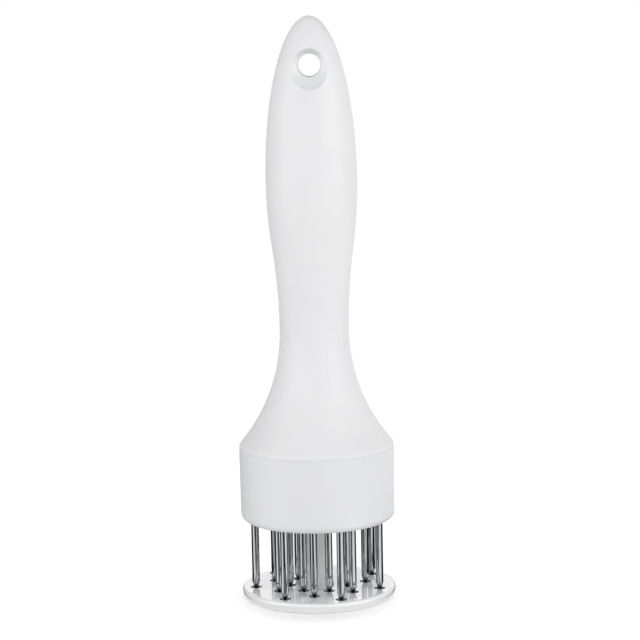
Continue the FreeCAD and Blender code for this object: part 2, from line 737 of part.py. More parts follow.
def make_spring():
    """Coil between the stop washer and the spring seat, and the seat with its centring nose."""
    low = "guide_top + washer_depth + wire_radius + coil_gap"
    high = "ledge_height - seat_depth - wire_radius - coil_gap"
    helix = primitive("Part::Helix", "spring_line", {
        "Radius": "coil_radius",
        "Height": f"({high}) - ({low})",
        "Pitch": f"(({high}) - ({low})) / coil_turns",
        "Placement.Base.z": low,
    })
    wire = primitive("Part::Circle", "spring_wire", {
        "Radius": "wire_radius",
        "Placement.Base.x": "coil_radius",
        "Placement.Base.z": low,
    }, Placement(Vector(), Rotation(Vector(1, 0, 0), 90)))
    coil = doc.addObject("Part::Sweep", "return_spring")
    coil.Label = "return_spring"
    coil.Sections = [wire]
    coil.Spine = (helix, ["Edge1"])
    coil.Solid = True
    coil.Frenet = True
    underside = "ledge_height - seat_depth"
    turned_body("spring_seat", [
        ("0", f"{underside} - seat_nose_length", "line"),
        ("seat_nose_radius - seat_nose_chamfer", f"{underside} - seat_nose_length", "line"),
        ("seat_nose_radius", f"{underside} - seat_nose_length + seat_nose_chamfer", "line"),
        ("seat_nose_radius", underside, "line"),
        ("seat_radius", underside, "line"),
        ("seat_radius", "ledge_height", "line"),
        ("0", "ledge_height", "line"),
    ])


# ---------------------------------------------------------------- build, check and export


def node_labels():
    """Every piece of the tool, by the name of its node."""
    prongs = [f"prong_{label}_{number}" for label, ring_radius, turn in ring_places()
              for number in range(1, int(size("prongs_per_ring")) + 1)]
    return ["handle_front", "handle_rear", "collar", "prong_carrier", "prong_clamp", "carrier_screws",
            "guard_disc", "guard_stem", "stem_washer", "stem_screw", "return_spring", "spring_seat"] + prongs


def check(item):
    """Stop if an object of the document failed."""
    if any(state in ("Invalid", "Error") for state in item.State):
        raise RuntimeError(f"{item.Label} failed: {item.State}")


def export_all():
    """Check the whole document, then write each piece."""
    for item in doc.Objects:
        check(item)
    os.makedirs("parts", exist_ok=True)
    for label in node_labels():
        item = doc.getObjectsByLabel(label)[0]
        shape = item.Shape
        if shape.isNull() or not shape.isValid():
            raise RuntimeError(f"{label} has no sound shape")
        shape.exportStep(os.path.join("parts", f"{label}.step"))
        box = shape.BoundBox
        print(f"{label:18s} solids {len(shape.Solids)}  volume {shape.Volume:9.1f} mm3  "
              f"z {box.ZMin:7.2f} to {box.ZMax:7.2f}")


make_handle()
make_collar()
make_carrier()
make_clamp()
make_prongs()
make_carrier_screws()
make_guard()
make_stem()
make_stop()
make_spring()
doc.recompute()
export_all()
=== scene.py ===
import json
import logging
import math
from dataclasses import dataclass
from enum import Enum
from typing import Any

import bpy
import numpy as np
from mathutils import Matrix, Vector


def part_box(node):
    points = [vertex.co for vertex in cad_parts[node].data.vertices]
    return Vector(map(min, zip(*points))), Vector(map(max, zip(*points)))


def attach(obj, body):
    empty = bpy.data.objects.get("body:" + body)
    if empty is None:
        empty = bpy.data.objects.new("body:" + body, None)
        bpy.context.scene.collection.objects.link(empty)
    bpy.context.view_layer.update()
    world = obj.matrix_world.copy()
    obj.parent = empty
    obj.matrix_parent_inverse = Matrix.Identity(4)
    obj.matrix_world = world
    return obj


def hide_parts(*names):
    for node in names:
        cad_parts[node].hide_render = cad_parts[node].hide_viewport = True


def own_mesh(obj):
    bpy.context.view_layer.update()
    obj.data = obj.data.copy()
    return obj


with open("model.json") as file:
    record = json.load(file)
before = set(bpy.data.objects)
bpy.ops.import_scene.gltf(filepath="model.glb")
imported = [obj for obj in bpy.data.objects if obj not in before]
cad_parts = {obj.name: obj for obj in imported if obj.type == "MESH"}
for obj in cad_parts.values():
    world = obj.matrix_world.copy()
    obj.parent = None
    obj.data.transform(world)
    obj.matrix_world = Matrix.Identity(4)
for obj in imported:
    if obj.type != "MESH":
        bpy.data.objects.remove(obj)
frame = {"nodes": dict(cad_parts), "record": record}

# A spring-guarded prong tenderizer, standing on its guard disc. Metres, +Z up, front towards -Y.
# Sizes of the new pieces are in millimetres and are turned to metres where their meshes are made.
# Angles are in degrees, and a bearing is counted from the front towards +X.

LOG = logging.getLogger("tenderizer")
MM = 0.001
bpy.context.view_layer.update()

Socket = bpy.types.NodeSocket
Tree = bpy.types.NodeTree
Faces = list[list[int]]

# The Mix node holds its number, vector and colour sockets under the same names, so colours go by number.
COLOUR_A, COLOUR_B, COLOUR_RESULT = 6, 7, 2

# Cloudy patterns keep mostly to the middle of their range from 0 to 1, so this part of it is spread out.
PATTERN_SPAN = {"From Min": 0.3, "From Max": 0.7}
# The more octaves, the finer the detail within a grain.
SOFT_OCTAVES, LINE_OCTAVES, FINE_OCTAVES = 2, 3, 4

# The sRGB curve: a channel is divided up to the toe, and above it the raised channel is taken to a power.
SRGB_TOE, SRGB_DIVISOR, SRGB_RAISE, SRGB_POWER = 0.04045, 12.92, 0.055, 2.4
WHITE = "#FFFFFF"


# ---------------------------------------------------------------- shader nodes


def linear(hex_colour: str) -> tuple[float, float, float, float]:
    """Turn an sRGB hex colour to the linear RGBA that shaders take.

    Args:
        hex_colour: Six hex digits after a hash sign.

    Returns:
        Linear red, green, blue and an alpha of 1.
    """
    channels = [int(hex_colour[i:i + 2], 16) / 255 for i in (1, 3, 5)]
    red, green, blue = (
        c / SRGB_DIVISOR if c <= SRGB_TOE else ((c + SRGB_RAISE) / (1 + SRGB_RAISE)) ** SRGB_POWER
        for c in channels
    )
    return red, green, blue, 1.0


def add_node(tree: Tree, kind: str, inputs: dict[str | int, Any] | None = None,
             **settings: Any) -> bpy.types.Node:
    """Add a shader node with its settings, values and links.

    Args:
        tree: Node tree that takes the node.
        kind: Blender's class name of the node, without the ShaderNode in front.
        inputs: By input name or number, the output socket that feeds it or the value that it holds.
        settings: Attributes of the node itself, such as operation.

    Returns:
        The new node.
    """
    node = tree.nodes.new("ShaderNode" + kind)
    for name, value in settings.items():
        setattr(node, name, value)
    for key, value in (inputs or {}).items():
        if isinstance(value, Socket):
            tree.links.new(value, node.inputs[key])
        else:
            node.inputs[key].default_value = value
    return node


def new_material(name: str) -> tuple[bpy.types.Material, Tree]:
    """Make an empty node material.

    Args:
        name: Name of the material.

    Returns:
        The material and its tree.
    """
    material = bpy.data.materials.new(name)
    material.use_nodes = True
    material.node_tree.nodes.clear()
    return material, material.node_tree


def cloudy_pattern(tree: Tree, grain_mm: float, stretch: tuple[float, float, float] = (1, 1, 1),
                   octaves: float = SOFT_OCTAVES) -> Socket:
    """Lay a cloudy pattern with a real grain size over the object's own coordinates.

    Args:
        tree: Node tree that takes the nodes.
        grain_mm: Size of a grain.
        stretch: Factor on each coordinate; below 1 draws the grain out along that axis.
        octaves: Fineness of the detail within a grain.

    Returns:
        The pattern's value from 0 to 1.
    """
    place = add_node(tree, "TexCoord").outputs["Object"]
    drawn = add_node(tree, "Mapping", {"Vector": place, "Scale": stretch}).outputs["Vector"]
    grain = {"Vector": drawn, "Scale": 1 / (grain_mm * MM), "Detail": octaves}
    return add_node(tree, "TexNoise", grain).outputs["Fac"]


# ---------------------------------------------------------------- finishes


@dataclass(frozen=True)
class Finish:
    """What every finish has: a name, and a colour that drifts over to a close shade of it."""

    name: str
    colour: str
    shade: str

    def drift(self, tree: Tree, pattern: Socket) -> Socket:
        """Let the colour follow a cloudy pattern over to its shade.

        Args:
            tree: Node tree that takes the nodes.
            pattern: Value of the pattern.

        Returns:
            The colour at each point.
        """
        share = add_node(tree, "MapRange", {"Value": pattern, **PATTERN_SPAN}).outputs["Result"]
        tones = {"Factor": share, COLOUR_A: linear(self.colour), COLOUR_B: linear(self.shade)}
        return add_node(tree, "Mix", tones, data_type="RGBA").outputs[COLOUR_RESULT]

    def material(self) -> bpy.types.Material:
        """Build the material, which each kind of finish does in its own way."""
        raise NotImplementedError


@dataclass(frozen=True)
class HangDish:
    """Painted shade in the dished mouths and the bore of the hang hole, above and below the hole.

    The painted shade starts at start_mm above or below the middle of the hole and is full at full_mm. Past
    the ball and the bore it fades out over fade_mm.
    """

    height_mm: float
    bore_mm: float
    ball_mm: float
    ball_centre_mm: float
    # Painted shade: a darker grey above the hole and a paler grey below it.
    painted_shade_above: str = "#D0D1D3"
    painted_shade_below: str = "#E7E8EA"
    start_mm: float = 1.6
    full_mm: float = 4.2
    fade_mm: float = 0.5

    def inside(self, tree: Tree, either: Socket) -> Socket:
        """Share that is 1 inside the dishes and the bore.

        A point lies in a dish if it is nearer to the centre of the ball that shapes it than the ball's
        radius, and in the bore if it is nearer to its axis than its radius.

        Args:
            tree: Node tree that takes the nodes.
            either: Place with the signs dropped, so that one ball serves both faces.

        Returns:
            The share.
        """
        height, fade = self.height_mm * MM, self.fade_mm * MM
        across = add_node(tree, "VectorMath", {0: either, 1: (1, 0, 1)}, operation="MULTIPLY")
        ball = (either, (0, self.ball_centre_mm * MM, height), self.ball_mm * MM)
        bore = (across.outputs["Vector"], (0, 0, height), self.bore_mm * MM)
        shares = []
        for place, centre, radius in (ball, bore):
            away = add_node(tree, "VectorMath", {0: place, 1: centre}, operation="DISTANCE").outputs["Value"]
            limits = {"Value": away, "From Min": radius, "From Max": radius + fade, "To Min": 1, "To Max": 0}
            shares.append(add_node(tree, "MapRange", limits).outputs["Result"])
        return add_node(tree, "Math", dict(enumerate(shares)), operation="MAXIMUM").outputs["Value"]

    def paint_shade(self, tree: Tree, clean: Socket) -> Socket:
        """Paint shade into a colour above and below the hole, and leave its sides clean.

        Args:
            tree: Node tree that takes the nodes.
            clean: Colour of the handle.

        Returns:
            The tinted colour.
        """
        place = add_node(tree, "TexCoord").outputs["Object"]
        either = add_node(tree, "VectorMath", {0: place}, operation="ABSOLUTE").outputs["Vector"]
        inside = self.inside(tree, either)
        level = add_node(tree, "SeparateXYZ", {"Vector": place}).outputs["Z"]
        tinted = clean
        # Painted shade, first below the hole and then above it.
        for colour, side in ((self.painted_shade_below, -1), (self.painted_shade_above, 1)):
            start, full = ((self.height_mm + side * reach) * MM for reach in (self.start_mm, self.full_mm))
            beyond = add_node(tree, "MapRange", {"Value": level, "From Min": start, "From Max": full})
            share = add_node(tree, "Math", {0: inside, 1: beyond.outputs["Result"]}, operation="MULTIPLY")
            tones = {"Factor": share.outputs["Value"], COLOUR_A: tinted, COLOUR_B: linear(colour)}
            tinted = add_node(tree, "Mix", tones, data_type="RGBA").outputs[COLOUR_RESULT]
        return tinted


@dataclass(frozen=True)
class MouldedPlastic(Finish):
    """Injection-moulded thermoplastic: one even colour, a soft gloss and a faint orange-peel skin.

    Real scuffs are too fine to show in the render, so they are drawn as coarse as scuff_mm.
    """

    roughness: float
    roughness_play: float = 0.04
    ior: float = 1.49
    mottle_mm: float = 16.0
    scuff_mm: float = 0.9
    scuff_stretch: float = 0.12
    peel_mm: float = 1.6
    peel_height_mm: float = 0.0015
    # Where to paint shade round the hang hole, if anywhere.
    dish: HangDish | None = None

    def gloss(self, tree: Tree) -> Socket:
        """Let the roughness rise and fall with fine scuffs; a stretch below 1 draws them out along the tool.

        Args:
            tree: Node tree that takes the nodes.

        Returns:
            The roughness at each point.
        """
        scuffs = cloudy_pattern(tree, self.scuff_mm, (1, 1, self.scuff_stretch), FINE_OCTAVES)
        low, high = self.roughness - self.roughness_play, self.roughness + self.roughness_play
        limits = {**PATTERN_SPAN, "To Min": low, "To Max": high}
        return add_node(tree, "MapRange", {"Value": scuffs, **limits}).outputs["Result"]

    def skin(self, tree: Tree) -> Socket:
        """Raise the faint orange peel of a moulded face.

        Args:
            tree: Node tree that takes the nodes.

        Returns:
            The surface's normal.
        """
        peel = cloudy_pattern(tree, self.peel_mm)
        relief = {"Height": peel, "Distance": self.peel_height_mm * MM, "Strength": 1.0}
        return add_node(tree, "Bump", relief).outputs["Normal"]

    def material(self) -> bpy.types.Material:
        """Build the material.

        Returns:
            Principled plastic whose tint drifts with the melt's flow and whose gloss has soft scuffs.
        """
        material, tree = new_material(self.name)
        colour = self.drift(tree, cloudy_pattern(tree, self.mottle_mm))
        # Painted shade round the hang hole.
        if self.dish:
            colour = self.dish.paint_shade(tree, colour)
        body = add_node(tree, "BsdfPrincipled", {
            "Base Color": colour,
            "Roughness": self.gloss(tree),
            "IOR": self.ior,
            "Normal": self.skin(tree),
        })
        add_node(tree, "OutputMaterial", {"Surface": body.outputs["BSDF"]})
        return material


@dataclass(frozen=True, kw_only=True)
class PiercedDisc(MouldedPlastic):
    """Polished polystyrene disc with a clear coat of gloss; the walls of its holes are duller, and its
    upright faces carry painted shade.

    A face is level where the upright part of its normal is above level_above, and a wall where it is below
    steep_below. A wall is the rim's within the first distance of rim_margin_mm from the rim, and a hole's
    from the second distance inwards.
    """

    # Painted shade: a dark grey on the walls of the holes and a light grey on the upright rim.
    painted_hole_shade: str
    painted_rim_shade: str
    rim_radius_mm: float
    roughness: float = 0.12
    roughness_play: float = 0.03
    ior: float = 1.59
    scuff_stretch: float = 1.0
    wall_roughness: float = 0.55
    polish: float = 0.8
    polish_roughness: float = 0.06
    level_above: float = 0.6
    steep_below: float = 0.3
    rim_margin_mm: tuple[float, float] = (0.4, 0.6)

    def material(self) -> bpy.types.Material:
        """Build the material.

        Returns:
            Clear-gloss plastic. The upright walls of the holes take a darker painted shade and their own
            roughness, and the rim, which is upright too, only takes a lighter painted shade.
        """
        material, tree = new_material(self.name)
        normal = add_node(tree, "NewGeometry").outputs["Normal"]
        upright = add_node(tree, "SeparateXYZ", {"Vector": normal}).outputs["Z"]
        lean = add_node(tree, "Math", {0: upright}, operation="ABSOLUTE").outputs["Value"]
        limits = {"From Min": self.steep_below, "From Max": self.level_above, "To Min": 1, "To Max": 0}
        steep = add_node(tree, "MapRange", {"Value": lean, **limits}).outputs["Result"]

        place = add_node(tree, "TexCoord").outputs["Object"]
        flat = add_node(tree, "VectorMath", {0: place, 1: (1, 1, 0)}, operation="MULTIPLY").outputs["Vector"]
        reach = add_node(tree, "VectorMath", {0: flat}, operation="LENGTH").outputs["Value"]
        edge, inner = ((self.rim_radius_mm - margin) * MM for margin in self.rim_margin_mm)
        limits = {"From Min": inner, "From Max": edge, "To Min": 1, "To Max": 0}
        inside = add_node(tree, "MapRange", {"Value": reach, **limits}).outputs["Result"]
        wall = add_node(tree, "Math", {0: steep, 1: inside}, operation="MULTIPLY").outputs["Value"]

        colour = self.drift(tree, cloudy_pattern(tree, self.mottle_mm))
        # Painted shade on every upright face, then a darker painted shade on the walls of the holes.
        for share, tone in ((steep, self.painted_rim_shade), (wall, self.painted_hole_shade)):
            tones = {"Factor": share, COLOUR_A: colour, COLOUR_B: linear(tone)}
            colour = add_node(tree, "Mix", tones, data_type="RGBA").outputs[COLOUR_RESULT]
        gloss = add_node(tree, "Mix", {"Factor": wall, "A": self.gloss(tree), "B": self.wall_roughness})
        body = add_node(tree, "BsdfPrincipled", {
            "Base Color": colour,
            "Roughness": gloss.outputs["Result"],
            "IOR": self.ior,
            "Coat Weight": self.polish,
            "Coat Roughness": self.polish_roughness,
            "Normal": self.skin(tree),
        })
        add_node(tree, "OutputMaterial", {"Surface": body.outputs["BSDF"]})
        return material


@dataclass(frozen=True)
class PolishedPin(Finish):
    """Stainless wire drawn, cut and tumbled to a mirror, with a point ground across its axis.

    The ground look and the painted shade of the point start point_above_mm above the point's shoulder and
    are full point_fade_mm further down.
    Real die lines and grinding rings are too fine to show in the render, so they are drawn coarser.
    """

    roughness: float
    point_top_mm: float
    roughness_play: float = 0.3
    # Painted shade that darkens the point towards its tip.
    painted_point_shade: str = "#505256"
    point_above_mm: float = 0.2
    point_fade_mm: float = 1.7
    point_roughness: float = 0.3
    die_line_mm: float = 0.22
    die_line_stretch: float = 0.01
    grind_mm: float = 0.16
    grind_stretch: float = 0.05
    grind_height_mm: float = 0.004

    def material(self) -> bpy.types.Material:
        """Build the material.

        Returns:
            Metal with faint die lines along the shank. The point has fine grinding rings, and painted shade
            makes it darker towards the tip.
        """
        material, tree = new_material(self.name)
        place = add_node(tree, "TexCoord").outputs["Object"]
        height = add_node(tree, "SeparateXYZ", {"Vector": place}).outputs["Z"]
        start = (self.point_top_mm + self.point_above_mm) * MM
        limits = {"From Min": start - self.point_fade_mm * MM, "From Max": start, "To Min": 1, "To Max": 0}
        point = add_node(tree, "MapRange", {"Value": height, **limits}).outputs["Result"]

        lines = cloudy_pattern(tree, self.die_line_mm, (1, 1, self.die_line_stretch), LINE_OCTAVES)
        limits = {"To Min": self.roughness * (1 - self.roughness_play),
                  "To Max": self.roughness * (1 + self.roughness_play)}
        shank = add_node(tree, "MapRange", {"Value": lines, **PATTERN_SPAN, **limits}).outputs["Result"]
        gloss = add_node(tree, "Mix", {"Factor": point, "A": shank, "B": self.point_roughness})
        # Painted shade darkens the point towards the tip.
        tones = {"Factor": point, COLOUR_A: self.drift(tree, lines), COLOUR_B: linear(self.painted_point_shade)}
        colour = add_node(tree, "Mix", tones, data_type="RGBA").outputs[COLOUR_RESULT]

        rings = cloudy_pattern(tree, self.grind_mm, (self.grind_stretch, self.grind_stretch, 1))
        raised = add_node(tree, "Math", {0: rings, 1: point}, operation="MULTIPLY").outputs["Value"]
        skin = {"Height": raised, "Distance": self.grind_height_mm * MM, "Strength": 1.0}
        body = add_node(tree, "BsdfPrincipled", {
            "Base Color": colour,
            "Metallic": 1.0,
            "Roughness": gloss.outputs["Result"],
            "Normal": add_node(tree, "Bump", skin).outputs["Normal"],
        })
        add_node(tree, "OutputMaterial", {"Surface": body.outputs["BSDF"]})
        return material


@dataclass(frozen=True)
class PlainMetal(Finish):
    """Drawn, stamped or plated steel of a part that nobody polishes: a soft grain over a dull gloss.

    The real grain is too fine to show in a render, so it is drawn coarser.
    """

    roughness: float
    grain_mm: float = 0.5
    stretch: tuple[float, float, float] = (1, 1, 1)
    grain_height_mm: float = 0.002
    smoother_by: float = 0.06
    rougher_by: float = 0.08

    def material(self) -> bpy.types.Material:
        """Build the material.

        Returns:
            Metal whose tint, gloss and skin all follow one grain.
        """
        material, tree = new_material(self.name)
        grain = cloudy_pattern(tree, self.grain_mm, self.stretch, FINE_OCTAVES)
        limits = {"To Min": self.roughness - self.smoother_by, "To Max": self.roughness + self.rougher_by}
        gloss = add_node(tree, "MapRange", {"Value": grain, **PATTERN_SPAN, **limits})
        skin = {"Height": grain, "Distance": self.grain_height_mm * MM, "Strength": 1.0}
        body = add_node(tree, "BsdfPrincipled", {
            "Base Color": self.drift(tree, grain),
            "Metallic": 1.0,
            "Roughness": gloss.outputs["Result"],
            "Normal": add_node(tree, "Bump", skin).outputs["Normal"],
        })
        add_node(tree, "OutputMaterial", {"Surface": body.outputs["BSDF"]})
        return material


def dress(nodes: tuple[str, ...], finish: Finish) -> list[str]:
    """Give CAD nodes one finish in place of their plain one.

    Args:
        nodes: Nodes to dress.
        finish: Their finish.

    Returns:
        What each node was dressed in.
    """
    material = finish.material()
    for node in nodes:
        for place in frame["nodes"][node].material_slots:
            place.material = material
    return [f"{node} in {finish.name}" for node in nodes]


# ---------------------------------------------------------------- surfaces on a grid


def grid_faces(rows: int, columns: int, closed: bool) -> np.ndarray:
    """Join neighbours of a grid of vertices, numbered row by row, to quads.

    Args:
        rows: Number of rows.
        columns: Number of columns.
        closed: True if the last column joins the first.

    Returns:
        One row of four vertex numbers for each quad.
    """
    row = np.arange(rows - 1)[:, None] * columns
    column = np.arange(columns if closed else columns - 1)[None, :]
    after = (column + 1) % columns
    corners = (row + column, row + after, row + columns + after, row + columns + column)
    return np.stack(corners, axis=-1).reshape(-1, 4)


def new_piece(name: str, points: np.ndarray, faces: Faces, material: bpy.types.Material) -> bpy.types.Object:
    """Make a smooth-shaded piece from points and faces.

    Args:
        name: Name of the piece and of its mesh.
        points: One row of x, y and z in metres for each vertex.
        faces: Vertex numbers of each face, anticlockwise from outside.
        material: Its finish.

    Returns:
        The new object, in the scene.
    """
    mesh = bpy.data.meshes.new(name)
    mesh.from_pydata(points.tolist(), [], faces)
    mesh.polygons.foreach_set("use_smooth", np.ones(len(mesh.polygons), bool))
    mesh.materials.append(material)
    mesh.update()
    piece = bpy.data.objects.new(name, mesh)
    bpy.context.scene.collection.objects.link(piece)
    return piece


def rounded_profile(corners: np.ndarray, steps: int) -> np.ndarray:
    """Round the corners of a profile with arcs.

    Each corner gives way to the arc of its radius that touches both its sides. Half the turn gives the
    distance from the corner to where the arc starts, as radius times the tangent of half the turn.

    Args:
        corners: One row of radius, height and rounding for each corner, in millimetres.
        steps: Points on each arc.

    Returns:
        One row of radius and height for each point of the profile.
    """
    places = corners[:, :2]
    way_in = places[1:-1] - places[:-2]
    way_out = places[2:] - places[1:-1]
    way_in /= np.linalg.norm(way_in, axis=1, keepdims=True)
    way_out /= np.linalg.norm(way_out, axis=1, keepdims=True)
    cross = way_in[:, 0] * way_out[:, 1] - way_in[:, 1] * way_out[:, 0]
    turn = np.arctan2(cross, (way_in * way_out).sum(axis=1))
    radius = corners[1:-1, 2]
    reach = radius * np.tan(np.abs(turn) / 2)
    start = places[1:-1] - way_in * reach[:, None]
    normal = np.stack([-way_in[:, 1], way_in[:, 0]], axis=1) * np.sign(turn)[:, None]
    swept = np.linspace(0, 1, steps)[None, :, None] * np.abs(turn)[:, None, None]
    side = normal[:, None, :]
    ahead = way_in[:, None, :]
    arcs = start[:, None, :] + radius[:, None, None] * (ahead * np.sin(swept) + side * (1 - np.cos(swept)))
    return np.concatenate([places[:1], arcs.reshape(-1, 2), places[-1:]])


def turned(profile: np.ndarray, centre: tuple[float, float], segments: int) -> tuple[np.ndarray, Faces]:
    """Turn a profile about an upright axis.

    A point at turn a and profile place p stands at centre + radius(p) * (cos a, sin a), height(p). The
    profile starts and ends on the axis, where a fan closes each pole.

    Args:
        profile: One row of radius and height for each point, in metres, from the bottom up.
        centre: Where the axis stands, x and y in metres.
        segments: Points round the axis.

    Returns:
        The vertices and the faces, facing outwards.
    """
    angle = np.arange(segments) * (2 * math.pi / segments)
    radius = profile[1:-1, 0][:, None]
    ring = np.stack([
        centre[0] + radius * np.cos(angle),
        centre[1] + radius * np.sin(angle),
        np.broadcast_to(profile[1:-1, 1][:, None], (len(profile) - 2, segments)),
    ], axis=-1).reshape(-1, 3)
    bottom = np.array([[*centre, profile[0, 1]]])
    top = np.array([[*centre, profile[-1, 1]]])
    points = np.concatenate([ring, bottom, top])
    quads = grid_faces(len(profile) - 2, segments, closed=True)
    here = np.arange(segments)
    after = (here + 1) % segments
    last = len(ring) - segments
    low_fan = np.stack([np.full(segments, len(ring)), after, here], axis=1)
    high_fan = np.stack([np.full(segments, len(ring) + 1), last + here, last + after], axis=1)
    return points, quads.tolist() + low_fan.tolist() + high_fan.tolist()


# ---------------------------------------------------------------- the tool's sub-assemblies


@dataclass
class Casing:
    """The two white half shells of the handle and the collar below them.

    A ball shapes each dished mouth of the hang hole; its nearest point is dish_depth from the tool's axis.
    """

    shells: tuple[str, ...] = ("handle_front", "handle_rear")
    ring: tuple[str, ...] = ("collar",)
    dish_ball: float = 9.0
    dish_depth: float = 7.65

    def hang_dish(self) -> HangDish:
        """Place the painted shade of the hang hole.

        Returns:
            The hole's dishes and bore, at the height and size that the mount gives.
        """
        hole = next(mount for mount in frame["record"]["mounts"] if mount["name"] == "hang_hole")
        height = hole["pos_m"][2] / MM
        return HangDish(height, hole["dims"]["r_mm"], self.dish_ball, self.dish_depth + self.dish_ball)

    def build(self) -> list[str]:
        """Dress the shells in semi-gloss ABS and the collar in a slightly duller one.

        Returns:
            What was dressed.
        """
        # White ABS from a polished mould: broad soft highlights, no visible grain at arm's length, and
        # painted shade above and below the hang hole.
        glossy = MouldedPlastic("white_abs_semi_gloss", "#EDEDEE", "#EAEAEC", roughness=0.36,
                                dish=self.hang_dish())
        # The collar comes from a finer-textured mould and looks a shade greyer and flatter.
        satin = MouldedPlastic("white_abs_satin", "#E8E8EA", "#E5E6E8", roughness=0.44)
        return dress(self.shells, glossy) + dress(self.ring, satin)


class Ring(Enum):
    """The three rings of prongs."""

    OUTER = "outer"
    MIDDLE = "middle"
    INNER = "inner"


@dataclass
class ProngPack:
    """Twenty-one steel prongs with the carrier, clamp plate and screws that hold them by their heads.

    The stop screw on the guard's post is zinc-plated like them and is dressed here too.
    """

    per_ring: int = 7
    shank_radius: float = 1.325
    point_length: float = 3.8
    tip_radius: float = 0.048
    shoulder_round: float = 0.35
    head_depth: float = 0.8
    head_round: float = 0.15
    foot_round: float = 0.05
    segments: int = 64
    arc_steps: int = 7
    plates: tuple[str, ...] = ("prong_carrier", "prong_clamp")
    screws: tuple[str, ...] = ("carrier_screws", "stem_screw")

    def nodes(self) -> list[str]:
        """Names of the prongs' nodes, ring by ring."""
        return [f"prong_{ring.value}_{number + 1}" for ring in Ring for number in range(self.per_ring)]

    def prong_profile(self, tip: float, top: float, head_radius: float) -> np.ndarray:
        """Profile of a prong from its tip up to its head.

        Args:
            tip: Height of the tip in millimetres.
            top: Height of the head's top in millimetres.
            head_radius: Radius of the head in millimetres.

        Returns:
            One row of radius and height for each point, in metres.
        """
        neck = top - self.head_depth
        corners = np.array([
            (0, tip, 0),
            (self.tip_radius, tip, self.tip_radius),
            (self.shank_radius, tip + self.point_length, self.shoulder_round),
            (self.shank_radius, neck, self.foot_round),
            (head_radius, neck, self.head_round),
            (head_radius, top, self.head_round),
            (0, top, 0),
        ])
        return rounded_profile(corners, self.arc_steps) * MM

    def make_prongs(self) -> list[str]:
        """Make a finely turned prong for each node, on the node's own axis.

        Returns:
            Names of the prongs.
        """
        # Polished stainless: near-mirror shank, so it shows bright and dark stripes of what stands round it.
        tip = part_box(self.nodes()[0])[0].z / MM
        finish = PolishedPin("stainless_polished_pin", "#B9BABD", "#ABADB1", roughness=0.05,
                             point_top_mm=tip + self.point_length)
        material = finish.material()
        names = []
        for node in self.nodes():
            low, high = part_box(node)
            centre = ((low.x + high.x) / 2, (low.y + high.y) / 2)
            profile = self.prong_profile(low.z / MM, high.z / MM, (high.x - low.x) / 2 / MM)
            points, faces = turned(profile, centre, self.segments)
            prong = new_piece(node.replace("prong", "pin"), points, faces, material)
            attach(prong, "handle")
            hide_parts(node)
            names.append(prong.name)
        return names

    def build(self) -> list[str]:
        """Make the prongs, and dress the carrier, the clamp plate and the screws.

        Returns:
            What was made and dressed.
        """
        # Moulded acetal: milky, waxy and even.
        acetal = MouldedPlastic("white_acetal", "#E4E4E2", "#DEDEDC", roughness=0.42)
        # Zinc plate over steel: cool grey with a faint crystal bloom.
        zinc = PlainMetal("zinc_plated_steel", "#C6C8C9", "#B4B7BA", roughness=0.32, grain_mm=0.4)
        return self.make_prongs() + dress(self.plates, acetal) + dress(self.screws, zinc)


@dataclass
class Guard:
    """The disc that covers the prong points, its post and the stop washer on top of the post.

    The spring seat is stamped from the same strip as the washer and is dressed here too.
    """

    disc: str = "guard_disc"
    post: str = "guard_stem"
    stampings: tuple[str, ...] = ("stem_washer", "spring_seat")
    strip_grain: tuple[float, float, float] = (1, 0.06, 1)

    def build(self) -> list[str]:
        """Dress the disc, the post and the stampings.

        Returns:
            What was dressed.
        """
        # Polished polystyrene: hard clear gloss that mirrors the prongs standing over it.
        polystyrene = PiercedDisc(
            name="white_polystyrene_gloss",
            colour="#FAFAFA",
            shade="#F7F7F8",
            # Painted shade on the walls of the holes and on the rim.
            painted_hole_shade="#B4B6B9",
            painted_rim_shade="#F1F1F2",
            rim_radius_mm=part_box(self.disc)[1].x / MM,
        )
        # Natural nylon: slightly waxy, duller than the disc.
        nylon = MouldedPlastic("pale_nylon", "#FAFAFA", "#F6F6F7", roughness=0.34)
        # Stamped stainless: rolled grain along the strip.
        stamped = PlainMetal("stainless_stamped", "#C3C4C6", "#AFB1B3", roughness=0.3, grain_mm=0.3,
                             stretch=self.strip_grain)
        return dress((self.disc,), polystyrene) + dress((self.post,), nylon) + dress(self.stampings, stamped)


